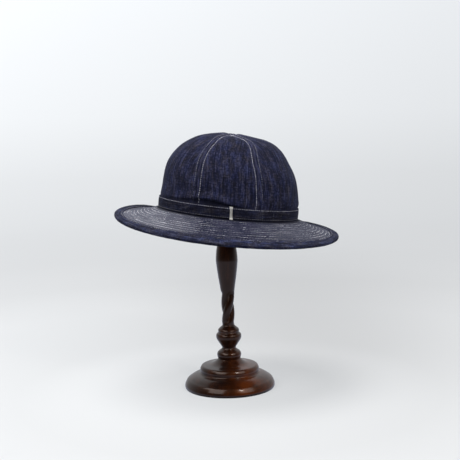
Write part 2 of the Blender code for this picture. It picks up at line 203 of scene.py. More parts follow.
# Band: shape of its outer face, then its rows of points, its pleat and its stitches
BAND_DROP = 0.0005
BAND_ROUNDING = 0.0007
BAND_ROUND_FOOT = 0.06
BAND_ROUND_TOP = 0.07
BAND_BELLY = 0.0004
BAND_RIPPLE_RISE = 0.003
BAND_TOP_ROW = 0.0016
BAND_FOOT_ROW = 0.0021
BAND_ROW_GROOVE = 0.00022
BAND_LEVELS = ((FOOT_GAP - BAND_DROP, 0.0016, 5), (0.003, 0.0125, 6), (0.0134, BAND_HEIGHT, 8))
BAND_EDGE = 0.0002
BAND_RADIUS = 0.092
BAND_ROW_STEPS = 1400
PLEAT_ANGLE = math.radians(-58.5)
PLEAT_HALF = 0.012
PLEAT_DEPTH = 0.0005
UPRIGHT_ROWS = np.radians((-58, -47.5, -39.1))
UPRIGHT_START = 0.0006
UPRIGHT_STEPS = 40

# Tab
TAB_GRID = (34, 11)
TAB_EASE = 0.0003
TAB_PINCH_POWER = 0.6
TAB_FLATTENING = 0.25
TAB_WAVE = 0.08
TAB_WAVE_RATE = 9
TAB_ROUNDING = 0.7

# Quilting of the brim
FIRST_ROW = 0.0022
ROW_PITCH = 0.00243
ROW_COUNT = 21
UPPER_STEPS = 6
LOWER_STEPS = 3
QUILT_DEPTH = 0.0009
QUILT_SINK = 0.0003
RIDGE_POWER = 0.7
RIDGE_LEVEL = 0.6
LOWER_RELIEF = 0.7
BAND_GROOVE = 0.0014
BAND_GROOVE_WIDTH = 0.004
BRIM_EDGE = BRIM_WIDTH - BINDING_WALL - FOOT_GAP
BRIM_TUCKED = 0.0012
BRIM_RADIUS = 0.125
LIP_PLACE = 0.002
LOWER_PLACE = 0.2
BRIM_ROW_STEPS = 1500
# Waves of each row of stitches: height, waves in a round and phase from one row to the next
ROW_WAVES = ((0.0001, 3, 1.7), (0.00004, 17, 1))
LAST_ROW_WAVE = 0.3

# Binding: its upper face as (distance from its inner edge, height over the flat tape)
BINDING_FOLD = ((0.0002, -0.0005), (0.0006, -0.0001), (0.0013, 0), (0.002, -0.0003),
                (0.0027, 0), (0.0045, 0.0001), (0.007, 0), (0.009, 0.0001))
BINDING_START = BRIM_WIDTH - BINDING_WIDTH
BINDING_TOP = FOOT_GAP + BINDING_WALL
NOSE_STEPS = 11
BINDING_INSIDE = 0.0001
BINDING_OUTER = 0.0012
BINDING_SHIFTED = BRIM_WIDTH - 0.011
BINDING_RADIUS = 0.155
BINDING_ROW = 0.002
BINDING_ROW_SINK = 0.0003
BINDING_ROW_WAVE = 0.0003
BINDING_ROW_STEPS = 1700
BRIM_MIDDLE = -0.5 * BRIM_WALL

# Stand: as packed, but for a wider collar over the bead and a rounder platform
STAND_HEIGHT = 0.3605
BASE_RADIUS = 0.065
BASE_HEIGHT = 0.042
COLUMN_RADIUS = 0.0181
COLUMN_HEIGHT = 0.183
POLE_RADIUS = 0.0098
TWIST_GROOVE = 0.0024
TWIST_PITCH = 0.085
TWIST_START = math.radians(105.5)
TWIST_FOOT = 0.261
TWIST_HEAD = 0.545
TWIST_FADE = 0.04
STRANDS = 3
HEAD_RADIUS = 0.042
DOME_RADIUS = 0.05
LIP_HEIGHT = 0.008
HEAD_CHAMFER = 0.4
BOSS_RADIUS = 0.014
BOSS_HEIGHT = 0.008
SHOULDER_GAP = 0.0003
OUTLINE_STEP = 0.0007
EASING_ROUNDS = 4
POLE_OVERLAP = 0.001
PLAIN_ROWS = 30
DOME_START = 0.02
WOOD_RADIUS = 0.02

# Turned profiles from the top down: height and radius as shares, and how far the stretch above
# swells out, or below zero is hollowed
COLUMN_ROWS = (
    (1, 0.541, 0), (0.9, 0.729, -0.01), (0.774, 0.867, 0.028), (0.588, 0.624, 0.019),
    (0.545, 0.563, 0), (0.5, 0.525, 0), (0.288, 0.508, 0), (0.261, 0.464, 0),
    (0.24, 0.71, 0), (0.205, 0.8, 0.09), (0.2, 0.878, 0), (0.187, 0.995, 0.028),
    (0.157, 0.995, 0.011), (0.092, 0.58, 0), (0.08, 0.53, -0.01), (0.068, 0.64, 0),
    (0, 0.895, 0.188),
)
BASE_ROWS = (
    (1, 0.24, 0), (0.795, 0.465, -0.025), (0.772, 0.575, 0), (0.7, 0.64, 0.016),
    (0.6, 0.652, 0.008), (0.545, 0.64, 0.004), (0.49, 0.68, -0.006), (0.33, 0.905, 0.016),
    (0.226, 0.968, 0.01), (0.095, 1, 0.004), (0.029, 0.998, 0.002), (0, 0.988, 0.003),
)

# A share of each panel's foot width times its length; the product is worked out but not used
PANEL_SHARE = 0.66


def smooth(value):
    value = np.clip(value, 0, 1)
    return value * value * (3 - 2 * value)


def hump(value):
    """One where the value is zero and zero from one outwards."""
    return np.where(np.abs(value) < 1, np.cos(0.5 * math.pi * value) ** 2, 0)


def bell(value):
    return np.exp(-(value ** 2))


def wander(angle):
    """The angle between minus and plus half a turn."""
    return (angle + math.pi) % TURN - math.pi


def once_round(count, closed=False):
    """Angles once round; a closed round ends where it began."""
    return np.linspace(0, TURN, count, endpoint=closed)


def grid(rows, columns):
    return np.meshgrid(rows, columns, indexing="ij")


def spline(values, places):
    """Values of a smooth curve through a list, at places from 0 to its last index."""
    values = np.asarray(values, float)
    last = len(values) - 1
    row = np.clip(np.floor(places).astype(int), 0, last - 1)
    t = (places - row).reshape(places.shape + (1,) * (values.ndim - 1))
    a, b = values[np.maximum(row - 1, 0)], values[row]
    c, d = values[row + 1], values[np.minimum(row + 2, last)]
    return b + 0.5 * t * (c - a + t * (2 * a - 5 * b + 4 * c - d + t * (3 * (b - c) + d - a)))


def ripples(points, layers):
    """Smooth noise at each point, summed over its layers."""
    total = 0
    for height, size, seed in layers:
        away = Vector([step * seed for step in NOISE_STEP])
        values = [noise.noise(Vector(point) + away) for point in points.reshape(-1, 3) / size]
        total = total + height * np.array(values).reshape(points.shape[:-1])
    return total


# Meshes and pieces


def add_object(name, data):
    thing = bpy.data.objects.new(name, data)
    bpy.context.scene.collection.objects.link(thing)
    return thing


def new_piece(name, mesh, materials, stands_for=None, smooth_angle=40):
    mesh.name = name
    for material in materials:
        mesh.materials.append(material)
    mesh.shade_smooth()
    mesh.set_sharp_from_angle(angle=math.radians(smooth_angle))
    piece = add_object(name, mesh)
    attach(piece, "root")
    if stands_for:
        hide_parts(stands_for)
    return piece


def keep_places(mesh, places):
    """Keeps a place (across, along) in metres at each point as the mesh's UV map."""
    layer = mesh.uv_layers.new(name="cloth")
    corners = np.zeros(len(mesh.loops), np.int32)
    mesh.loops.foreach_get("vertex_index", corners)
    places = places.reshape(-1, 2)[corners]
    layer.data.foreach_set("uv", places.astype(np.float32).ravel())


def make_mesh(points, faces, places, sides=None, wear_and_shade=None):
    """A mesh with its places, each face's material and how rubbed each point is, less its painted
    shade.
    """
    mesh = bpy.data.meshes.new("piece")
    mesh.from_pydata(points.reshape(-1, 3).tolist(), [], faces)
    if sides is not None:
        mesh.polygons.foreach_set("material_index", sides)
    keep_places(mesh, places)
    if wear_and_shade is not None:
        layer = mesh.attributes.new("wear_and_shade", "FLOAT", "POINT")
        layer.data.foreach_set("value", wear_and_shade.astype(np.float32).ravel())
    shape = bmesh.new()
    shape.from_mesh(mesh)
    bmesh.ops.remove_doubles(shape, verts=shape.verts, dist=0.00001)
    bmesh.ops.recalc_face_normals(shape, faces=shape.faces)
    shape.to_mesh(mesh)
    shape.free()
    return mesh


def numbered(points):
    """The number of each point of a grid."""
    return np.arange(points.shape[0] * points.shape[1]).reshape(points.shape[:2])


def shell(outer, inner, across, along, wear_and_shade=None):
    """A wall between two grids of points of the hat's frame."""
    index = numbered(outer)
    count = index.size
    front = np.stack([index[:-1, :-1], index[:-1, 1:], index[1:, 1:], index[1:, :-1]], -1)
    front = front.reshape(-1, 4)
    rim = np.concatenate([index[0], index[1:, -1], index[-1, -2::-1], index[-2:0:-1, 0]])
    after = np.roll(rim, -1)
    edge = np.stack([rim, after, after + count, rim + count], -1)
    faces = np.concatenate([front, front[:, ::-1] + count, edge]).tolist()
    sides = np.repeat(np.array((0, 1, 0), np.int32), (len(front), len(front), len(edge)))
    places = np.tile(np.stack([across, along], -1), (2, 1, 1))
    if wear_and_shade is not None:
        wear_and_shade = np.tile(wear_and_shade, (2, 1))
    return make_mesh(seated(np.concatenate([outer, inner])), faces, places, sides, wear_and_shade)


def ring(sections, across, along):
    """A closed ring of the hat's frame, with a closed outline at each angle."""
    index = numbered(sections)
    ahead = np.roll(index, -1, 0)
    faces = np.stack([index, np.roll(index, -1, 1), np.roll(ahead, -1, 1), ahead], -1)
    places = np.stack(np.broadcast_arrays(across, along), -1)
    return make_mesh(seated(sections), faces.reshape(-1, 4).tolist(), places)


def round_faces(index):
    """Faces between rings of numbered points, from each ring to the next."""
    beside = np.roll(index, -1, 1)
    return np.stack([index[:-1], index[1:], beside[1:], beside[:-1]], -1).reshape(-1, 4).tolist()


def stitches(name, rows, material, thread=THREAD, taper=STITCH_TAPER):
    """Short rounded threads lying on a cloth, joined in one piece that keeps their marks."""
    starts, ends, ups, marks = (np.concatenate(parts) for parts in zip(*rows))
    along = ends - starts
    side = np.cross(ups, along)
    side /= np.linalg.norm(side, axis=1, keepdims=True)
    up = np.cross(along, side)
    up /= np.linalg.norm(up, axis=1, keepdims=True)
    half = 0.5 * thread
    points = [starts - up * half]
    for share in (taper, 1 - taper):
        middle = starts + along * share + up * half * STITCH_LIFT
        points += [middle + way * half for way in (side, up, -side, -up)]
    points = np.stack(points + [ends - up * half], 1)
    base = (np.arange(len(starts)) * THREAD_POINTS)[:, None, None]
    faces = []
    for corners in THREAD_FACES:
        faces += (np.array(corners) + base).reshape(-1, len(corners[0])).tolist()
    mesh = bpy.data.meshes.new(name)
    mesh.from_pydata(points.reshape(-1, 3).tolist(), [], faces)
    keep_places(mesh, np.repeat(marks, THREAD_POINTS, 0))
    return new_piece(name, mesh, (material,), smooth_angle=80)


def sew(surface, where, draws, row, length=STITCH_LENGTH, gap=STITCH_GAP,
        jitter=STITCH_JITTER, skip=0, loose=0):
    """Starts, ends, ups and marks of a row of stitches; loose ones stand a little proud.

    The surface gives the row's points from where they are and from their rise over the cloth.
    """
    low = surface(*where, 0)
    path, ups = seated(low), seated_way(surface(*where, MM) - low)
    travel = np.concatenate([[0], np.cumsum(np.linalg.norm(np.diff(path, axis=0), axis=1))])
    count = max(int(travel[-1] / (length + gap)), 1)
    begin = np.arange(count) * travel[-1] / count
    begin += draws.uniform(0, gap, count)
    end = begin + length * (1 + draws.uniform(-jitter, jitter, count))
    keep = draws.random(count) >= skip
    begin, end = begin[keep], np.minimum(end[keep], travel[-1])

    def at(distance, values):
        return np.stack([np.interp(distance, travel, column) for column in values.T], 1)

    starts, ends, rise = at(begin, path), at(end, path), at(0.5 * (begin + end), ups)
    if loose > 0:
        drawn = np.maximum(draws.random(len(begin)) - 1 + loose, 0)
        proud = LOOSE_RISE * drawn[:, None] / loose
        starts, ends = starts + rise / MM * proud, ends + rise / MM * proud
    return starts, ends, rise, np.stack([np.full(len(begin), ROW_MARK * row), begin], 1)


# The hat's frame


def plan_radius(half_length, half_width, angle):
    return 1 / np.hypot(np.cos(angle) / half_length, np.sin(angle) / half_width)


def polar(radius, angle, height, centre=0):
    return np.stack([centre + radius * np.cos(angle), radius * np.sin(angle), height], -1)


def foot_normal(angle):
    """Points of the crown's foot and the way out of it in plan."""
    a, b = 0.5 * CROWN_LENGTH, 0.5 * CROWN_WIDTH
    radius = plan_radius(a, b, angle)
    x, y = radius * np.cos(angle), radius * np.sin(angle)
    nx, ny = x / a ** 2, y / b ** 2
    size = np.hypot(nx, ny)
    return x, y, nx / size, ny / size


def foot_point(angle, offset, height):
    x, y, nx, ny = foot_normal(angle)
    x, y = x + nx * offset, y + ny * offset
    return np.stack([x, y, np.broadcast_to(height, np.shape(x))], -1)


def hat_matrix():
    """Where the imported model's crown sits: the band's lowest point gives the height."""
    turned = Matrix.Rotation(HAT_TILT, 4, "Y") @ Matrix.Rotation(HAT_TURN, 4, "Z")
    turned = Matrix.Translation((HAT_SET_BACK, 0, 0)) @ turned
    foot = foot_point(once_round(49, closed=True), BAND_GAP + BAND_WALL, FOOT_GAP)
    lowest = min((turned @ Vector(point)).z for point in foot)
    return Matrix.Translation((0, 0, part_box("crown_band")[0].z - lowest)) @ turned


HAT = np.array(hat_matrix())


def seated(points):
    """Points of the hat's frame moved to their place on the stand."""
    return points @ HAT[:3, :3].T + HAT[:3, 3]


def seated_way(ways):
    return ways @ HAT[:3, :3].T


# Crown


def crown_knots():
    """Sections from the foot to the top: centre, reach, height, puff and sag."""
    half = 0.5 * CROWN_LENGTH
    top_of_band = BAND_HEIGHT + FOOT_GAP
    rise = CROWN_HEIGHT - top_of_band
    knots = [(0, half, height, 0, 0) for height in (FOOT_GAP, 0.5 * top_of_band, top_of_band)]
    for height, front, rear, puff, sag in CROWN_ROWS:
        centre, reach = 0.5 * (rear - front) * half, 0.5 * (rear + front) * half
        knots.append((centre, reach, top_of_band + height * rise, puff, sag * rise))
    knots.append((APEX_SHIFT * half, 0, CROWN_HEIGHT - APEX_DIP, 0, 0))
    return np.array(knots)


def crown_profile(places):
    """Sections of the crown at some shares of the way up its cloth.

    The columns are centre, reach, height, puff, sag, out, up and distance.
    """
    knots = crown_knots()
    fine = spline(knots, np.linspace(0, len(knots) - 1, PROFILE_STEPS))
    fine[:, 1] = np.maximum(fine[:, 1], 0)
    step = np.hypot(np.diff(fine[:, 1]), np.diff(fine[:, 2]))
    travel = np.concatenate([[0], np.cumsum(step)])
    out, up = np.gradient(fine[:, 2]), -np.gradient(fine[:, 1])
    size = np.hypot(out, up)
    fine = np.column_stack([fine, out / size, up / size])
    places = places * travel[-1]
    rows = np.stack([np.interp(places, travel, column) for column in fine.T], 1)
    rows[places >= travel[-1], 1] = 0
    return np.column_stack([rows, places])


def oval_radius(reach, angle):
    half_width = reach * CROWN_WIDTH / CROWN_LENGTH
    return plan_radius(np.maximum(reach, TINY), np.maximum(half_width, TINY), angle)


def panel_arcs(panel, profile):
    """The angle where a panel starts, its span, and its width at each section."""
    start, span = SEAM_ANGLES[panel], SEAM_ANGLES[panel + 1] - SEAM_ANGLES[panel]
    return start, span, oval_radius(profile[:, 1], start + 0.5 * span) * span


def fold_parts(angle, height):
    """Depth of the slack cloth, its swelling above its lip and its turning in below it."""
    degrees = np.degrees(wander(angle))
    rows = np.array(FOLD_ROWS)
    place = np.interp(degrees, rows[:, 0], np.arange(len(rows)))
    lip, depth = np.moveaxis(spline(rows[:, 1:], place), -1, 0)
    lip = lip + BAND_HEIGHT + WOBBLE * np.sin(degrees * WOBBLE_RATE)
    above = smooth((lip + FOLD_SWELL - height) / FOLD_SWELL)
    below = smooth((height - lip + FOLD_TURN) / FOLD_TURN)
    return depth, above, below


def fold_bulge(angle, height):
    """Slack cloth that hangs over the band: it swells slowly downwards and turns in sharply."""
    depth, above, below = fold_parts(angle, height)
    recess = FOLD_RECESS * smooth(depth / FOLD_ONSET) * (1 - below)
    return depth * above * below - recess * smooth((height - BAND_HEIGHT) / FOLD_ONSET)


def seam_relief(distance):
    plateau = SEAM_RISE * (1 - smooth((distance - ALLOWANCE) / SEAM_STEP + 0.5))
    groove = SEAM_GROOVE * bell(distance / SEAM_GROOVE_WIDTH)
    return plateau - groove - ROW_GROOVE * bell((distance - ROW_OFFSET) / ROW_GROOVE_WIDTH)


def crown_place(section, angle, across, distance, rise):
    """Points over the crown's cloth; on the cloth itself they also have the seams' relief."""
    centre, reach, height, puff, sag, out, up = (section[..., k] for k in range(7))
    proud = PANEL_PUFF * puff * np.sin(math.pi * across) ** 2 + fold_bulge(angle, height)
    radius = oval_radius(reach, angle)
    over_band = height - BAND_HEIGHT
    rippled = smooth(over_band / RIPPLE_HEIGHT) * smooth(reach / RIPPLE_REACH)
    flat = polar(radius, angle, height, centre)
    proud = proud + CLOTH_WAVE * ripples(flat, CROWN_RIPPLES) * rippled
    if rise == 0:
        sewn = smooth((over_band - SEAM_START) / SEAM_HEIGHT) * smooth(reach / SEAM_REACH)
        proud = proud + seam_relief(distance) * sewn
    proud = proud + rise
    radius = np.maximum(radius + proud * out * smooth(reach / POLE_REACH), 0)
    sagging = np.minimum(np.sin(angle), FAR_SAG * np.abs(np.sin(angle)))
    return polar(radius, angle, height + proud * up + sag * sagging, centre)


def panel_shares(arc):
    """Shares across a panel, close together beside its seams, for each length of arc."""
    near = NEAR_SEAM[None, :] * np.minimum(0.5 * arc / NARROW_HALF, 1)[:, None]
    left = near / arc[:, None]
    last = left[:, -1:]
    middle = last + (1 - 2 * last) * np.linspace(0, 1, PANEL_STEPS + 1)[None, 1:-1]
    return np.concatenate([left, middle, 1 - left[:, ::-1]], 1)


def crown_panel(index, side, materials):
    """One wedge of the crown, with its width at the foot and its length to the top."""
    profile = crown_profile(PANEL_ROWS)
    start, span, arc = panel_arcs(index, profile)
    share = panel_shares(arc)
    angle = start + share * span
    distance = np.minimum(share, 1 - share) * arc[:, None]
    section = np.repeat(profile[:, None, :], share.shape[1], 1)
    height = section[..., 2]
    walls = [crown_place(section, angle, share, distance, rise) for rise in (0, -CROWN_WALL)]
    across = (share - 0.5) * arc[:, None] + index * PANEL_ACROSS
    along = section[..., 7] + index * PANEL_ALONG
    allowance = bell((distance - ALLOWANCE) / WEAR_WIDTH)
    rubbed = bell(distance / WEAR_WIDTH) + ALLOWANCE_WEAR * allowance
    rubbed *= smooth((height / CROWN_HEIGHT - WEAR_START) / WEAR_RISE)
    # Painted shade: the cloth just below the fold's lip is darkened, more where the fold stands out
    # further
    depth, _, below = fold_parts(angle, height)
    lip_shade = 1 - smooth((below - TUCK_EDGE) / (1 - TUCK_EDGE))
    lip_shade = LIP_SHADE_SHARE * smooth(depth / TUCK_DEPTH) * lip_shade
    mesh = shell(*walls, across, along, rubbed - lip_shade)
    piece = new_piece("crown_cloth_" + side, mesh, materials, "crown_panel_" + side)
    return piece, float(arc[0]), float(profile[-1, 7])


def seam_row(index, panel, draws):
    """Stitches beside a seam, on the panel that starts there or on the one before."""
    profile = crown_profile(PROFILE_ROWS)
    start, span, arc = panel_arcs(panel, profile)
    kept = (profile[:, 2] > BAND_HEIGHT - SEAM_ROW_START) & (0.5 * arc > ROW_OFFSET * SEAM_ROW_END)
    share = np.minimum(ROW_OFFSET / arc[kept], 0.5)
    if panel != index:
        share = 1 - share
    where = profile[kept], start + share * span, share, np.full(len(share), ROW_OFFSET)
    return sew(crown_place, where, draws, 2 * index + (panel == index), jitter=0.15)


def apex_rows(draws):
    """Short pale stitches fanned out over the point where the seams meet."""
    profile = crown_profile(PROFILE_ROWS)
    section = profile[(profile[:, 1] > APEX_NEAR) & (profile[:, 1] < APEX_FAR)]
    rows = []
    for number, turn in enumerate(APEX_TURNS):
        where = [section] + [np.full(len(section), value) for value in (turn, 0.5, CROWN_WIDTH)]
        rows.append(sew(crown_place, where, draws, number, length=0.003, gap=0.0003))
    return rows


def crown_rows(bright, dull):
    """Rows on both sides of each seam: pale on the side panels, dull on the others."""
    draws = np.random.default_rng(11)
    pale_rows, dull_rows = apex_rows(draws), []
    for index in range(len(PANEL_NAMES)):
        for panel in (index, (index - 1) % len(PANEL_NAMES)):
            row = seam_row(index, panel, draws)
            (pale_rows if PANEL_NAMES[panel] in ("left", "right") else dull_rows).append(row)
    return [stitches("crown_seam_stitches", pale_rows, bright, BRIGHT_THREAD),
            stitches("crown_dull_stitches", dull_rows, dull)]


# Band and tab


def band_offset(angle, height):
    """Distance of the band's outer face from the crown's foot oval."""
    share = height / BAND_HEIGHT
    rounded = smooth(1 - share / BAND_ROUND_FOOT)
    rounded = rounded + smooth(1 - (1 - share) / BAND_ROUND_TOP)
    groove = BAND_ROW_GROOVE * bell((BAND_HEIGHT - height - BAND_TOP_ROW) / ROW_GROOVE_WIDTH)
    belly = BAND_BELLY * np.sin(math.pi * share)
    pleat = PLEAT_DEPTH * hump(wander(angle - PLEAT_ANGLE) / PLEAT_HALF)
    return BAND_GAP + BAND_WALL + belly - BAND_ROUNDING * rounded - groove - pleat


def band_point(angle, height, rise):
    ripple = ripples(foot_point(angle, 0, height), BAND_RIPPLES)
    ripple = ripple * smooth(height / BAND_RIPPLE_RISE)
    return foot_point(angle, band_offset(angle, height) + ripple + rise, height)


def make_band(material):
    angles = once_round(ROUND_STEPS)
    outer = np.concatenate([np.linspace(*levels) for levels in BAND_LEVELS])
    inner = np.array((BAND_HEIGHT - BAND_EDGE, 0.5 * BAND_HEIGHT, FOOT_GAP))
    angle, height = grid(angles, inner)
    lining = foot_point(angle, 0.5 * BAND_GAP, height)
    sections = np.concatenate([band_point(*grid(angles, outer), 0), lining], 1)
    along, travel = grid(angles * BAND_RADIUS, np.concatenate([outer, 2 * BAND_HEIGHT - inner]))
    mesh = ring(sections, travel, along)
    return new_piece("band_cloth", mesh, (material,), "crown_band")


def band_rows(bright, dull):
    """A pale row along the band's top, and dull ones along its foot and up over it."""
    draws = np.random.default_rng(12)
    angles = once_round(BAND_ROW_STEPS, closed=True)
    top = BAND_HEIGHT - BAND_TOP_ROW
    rows = []
    for number, height in enumerate((top, BAND_FOOT_ROW)):
        where = angles, np.full(len(angles), height)
        rows.append(sew(band_point, where, draws, number, jitter=0.1))
    upright = np.linspace(UPRIGHT_START, top, UPRIGHT_STEPS)
    for number, turn in enumerate(UPRIGHT_ROWS, 2):
        where = np.full(len(upright), turn), upright
        rows.append(sew(band_point, where, draws, number, length=0.0012, gap=0.0012))
    return [stitches("band_stitches", rows[:1], bright, TOP_THREAD),
            stitches("band_dull_stitches", rows[1:], dull)]


def make_tab(material):
    """A short folded tape over the band, pinched in the middle."""
    rows, columns = TAB_GRID
    tall = BAND_HEIGHT + TAB_RISE - FOOT_GAP
    x, y, nx, ny = foot_normal(TAB_ANGLE)
    out, along = np.array((nx, ny)), np.array((-ny, nx))
    level, share = grid(np.linspace(0, 1, rows), np.linspace(-0.5, 0.5, columns))
    pinch = np.sin(math.pi * level) ** TAB_PINCH_POWER
    lift = TAB_WALL * (1 - TAB_FLATTENING * pinch + TAB_WAVE * np.sin(TAB_WAVE_RATE * level))
    lift = lift * (1 - TAB_ROUNDING * (2 * np.abs(share)) ** 4)
    slide = share * TAB_WIDTH * (1 - TAB_PINCH * pinch) - TAB_SLANT * level
    middle = np.array((x, y)) + out * (BAND_GAP + BAND_WALL + TAB_EASE)
    height = (FOOT_GAP - BAND_DROP + level * tall)[..., None]
    back = middle + along * slide[..., None]
    front = back + out * lift[..., None]
    front, back = (np.concatenate([flat, height], -1) for flat in (front, back))
    mesh = shell(front, back, (share + 0.5) * TAB_WIDTH, level * tall)
    return new_piece("band_tape", mesh, (material, material), "band_tab")


# Brim and binding


def rim_fall(angle):
    count = len(RIM_FALLS)
    place = (np.degrees(angle) % 360) / (360 / count) + 1
    return BRIM_WIDTH * spline((RIM_FALLS[-1], *RIM_FALLS, *RIM_FALLS[:2]), place)


def brim_point(angle, along, proud):
    """Along is the distance down the brim; proud is square to the cloth."""
    rim = rim_fall(angle)
    reach = np.sqrt(BRIM_WIDTH ** 2 - rim ** 2)
    cone = BRIM_SLOPE * BRIM_WIDTH
    share = along / BRIM_WIDTH
    fall = cone * share + (rim - cone) * share ** 3
    steepness = (cone + 3 * (rim - cone) * share ** 2) / reach
    size = np.hypot(steepness, 1)
    return foot_point(angle, share * reach + proud * steepness / size, proud / size - fall)


def over_brim(angle, along, proud, side, rise):
    return brim_point(angle, along, proud + rise * side)


def quilt_relief(angle, along):
    """Valleys along the rows of stitches and small puckers between them."""
    row = (along - FIRST_ROW) / ROW_PITCH
    inside = smooth((row + 0.5) / 0.5) * smooth((ROW_COUNT - 0.5 - row) / 0.5)
    ridge = np.abs(np.sin(math.pi * row)) ** RIDGE_POWER - RIDGE_LEVEL
    puckers = ripples(foot_point(angle, along, 0), PUCKERS)
    beside_band = BAND_GROOVE * (1 - smooth(along / BAND_GROOVE_WIDTH))
    return inside * (QUILT_DEPTH * ridge + PUCKER_DEPTH * puckers) - beside_band


def faced(relief, side):
    """How proud the relief stands on one face of the brim; side is 1 above and -1 below."""
    return relief if side > 0 else -BRIM_WALL - relief * LOWER_RELIEF


def brim_face(side, pitch):
    """Points of one face of the brim, with their angle and their distance down it."""
    stations = np.append(np.arange(0, BINDING_START + BRIM_TUCKED, pitch), BRIM_EDGE)
    angle, along = grid(once_round(ROUND_STEPS), stations)
    return brim_point(angle, along, faced(quilt_relief(angle, along), side)), angle, along


def make_brim(material):
    """One closed ring: the stitched face above, the plainer face below."""
    upper, angle, along = brim_face(1, ROW_PITCH / UPPER_STEPS)
    lower, low_angle, low_along = brim_face(-1, ROW_PITCH / LOWER_STEPS)
    lip_angle = angle[:, :1]
    lip = foot_point(lip_angle, -CROWN_WALL - FOOT_GAP, 0)
    sections = np.concatenate([lip, upper, lower[:, ::-1], lip - (0, 0, BRIM_WALL)], 1)
    angles = np.concatenate([lip_angle, angle, low_angle[:, ::-1], lip_angle], 1)
    lip_place = np.full_like(lip_angle, LIP_PLACE)
    travel = [-lip_place, along, LOWER_PLACE - low_along[:, ::-1], LOWER_PLACE + lip_place]
    mesh = ring(sections, np.concatenate(travel, 1), angles * BRIM_RADIUS)
    return new_piece("brim_cloth", mesh, (material,), "brim", 60)


def brim_rows(thread, side, name):
    draws = np.random.default_rng(13 if side > 0 else 14)
    angles = once_round(BRIM_ROW_STEPS, closed=True)
    rows = []
    for row in range(1, ROW_COUNT):
        drift = sum(height * np.sin(rate * angles + phase * row)
                    for height, rate, phase in ROW_WAVES)
        if row == ROW_COUNT - 1:
            drift = drift * LAST_ROW_WAVE
        along = FIRST_ROW + row * ROW_PITCH + drift
        proud = faced(quilt_relief(angles, along) - QUILT_SINK, side)
        rows.append(sew(over_brim, (angles, along, proud, side), draws, row, **QUILT_KIND))
    return stitches(name, rows, thread, QUILT_THREAD, QUILT_TAPER)


def binding_outline():
    """The folded tape as (along, proud), from its upper edge round the rim and back."""
    upper = [(BINDING_START + along, BINDING_TOP + proud) for along, proud in BINDING_FOLD]
    lower = [(along, 2 * BRIM_MIDDLE - proud) for along, proud in reversed(upper)]
    half = BINDING_TOP - BRIM_MIDDLE
    bends = np.linspace(0.5 * math.pi, -0.5 * math.pi, NOSE_STEPS)
    deep = BRIM_WIDTH - BRIM_EDGE
    nose = [(BRIM_EDGE + deep * math.cos(bend), BRIM_MIDDLE + half * math.sin(bend))
            for bend in bends]
    below = -BRIM_WALL - BINDING_INSIDE
    inside = [(along, below) for along in (upper[0][0], BRIM_EDGE)]
    inside += [(along, BINDING_INSIDE) for along in (BRIM_EDGE, upper[0][0])]
    return np.array(upper + nose + lower + inside)


def make_binding(material):
    outline = binding_outline()
    angle, along = grid(once_round(ROUND_STEPS), outline[:, 0])
    proud = np.broadcast_to(outline[:, 1], angle.shape)
    flat = foot_point(angle, along, proud)
    over = proud - BRIM_MIDDLE
    proud = proud + np.sign(over) * ripples(flat, BINDING_RIPPLES) * (np.abs(over) > BINDING_OUTER)
    along = along + ripples(flat, BINDING_SHIFTS) * (along < BINDING_SHIFTED)
    travel = np.cumsum(np.hypot(*np.diff(outline, axis=0, prepend=outline[:1]).T))
    mesh = ring(brim_point(angle, along, proud), travel, angle * BINDING_RADIUS)
    return new_piece("binding_cloth", mesh, (material,), "brim_binding")


def binding_rows(thread):
    draws = np.random.default_rng(15)
    angles = once_round(BINDING_ROW_STEPS, closed=True)
    along = BINDING_START + BINDING_ROW + BINDING_ROW_WAVE * np.sin(2 * angles)
    rows = []
    for side in (1, -1):
        proud = BRIM_MIDDLE + side * (BINDING_TOP - BINDING_ROW_SINK - BRIM_MIDDLE)
        rows.append(sew(over_brim, (angles, along, proud, side), draws, side, jitter=0.15))
    return stitches("binding_stitches", rows, thread)


# Stand


def turned_outline(rows, height, radius, floor):
    outline = [Vector((rows[0][1] * radius, floor + rows[0][0] * height))]
    for level, reach, bulge in rows[1:]:
        start, end = outline[-1].copy(), Vector((reach * radius, floor + level * height))
        outward = Vector((-(end - start).y, (end - start).x)).normalized()
        steps = max(int((end - start).length / OUTLINE_STEP), 2)
        for step in range(1, steps + 1):
            t = step / steps
            outline.append(start.lerp(end, t) + outward * (bulge * radius * 4 * t * (1 - t)))
    return np.array(outline)


def eased(outline):
    """The outline with its corners softened."""
    for _ in range(EASING_ROUNDS):
        outline[1:-1] = 0.25 * outline[:-2] + 0.5 * outline[1:-1] + 0.25 * outline[2:]
    return outline


def turned_mesh(outline, sides, relief=None):
    reach, angle = grid(outline[:, 0], once_round(sides))
    level = np.repeat(outline[:, 1:], sides, 1)
    if relief:
        reach, angle = relief(reach, level, angle)
    index = numbered(reach)
    faces = round_faces(index) + [index[0].tolist(), index[-1][::-1].tolist()]
    places = np.stack([angle * WOOD_RADIUS, level], -1)
    return make_mesh(polar(reach, angle, level), faces, places)


def twist(reach, height, angle):
    """Three round strands wound round each other along the middle of the column."""
    share = (height - BASE_HEIGHT - SHOULDER_GAP) / COLUMN_HEIGHT
    relief = smooth((share - TWIST_FOOT) / TWIST_FADE)
    relief = relief * smooth((TWIST_HEAD - share) / TWIST_FADE)
    run = (np.clip(share, TWIST_FOOT, TWIST_HEAD) - TWIST_FOOT) * COLUMN_HEIGHT
    from_strand = np.abs(angle % (TURN / STRANDS) - math.pi / STRANDS)
    depth = (1 - np.cos(from_strand)) / (1 - math.cos(math.pi / STRANDS))
    return reach - TWIST_GROOVE * relief * depth, TWIST_START + TURN * run / TWIST_PITCH + angle


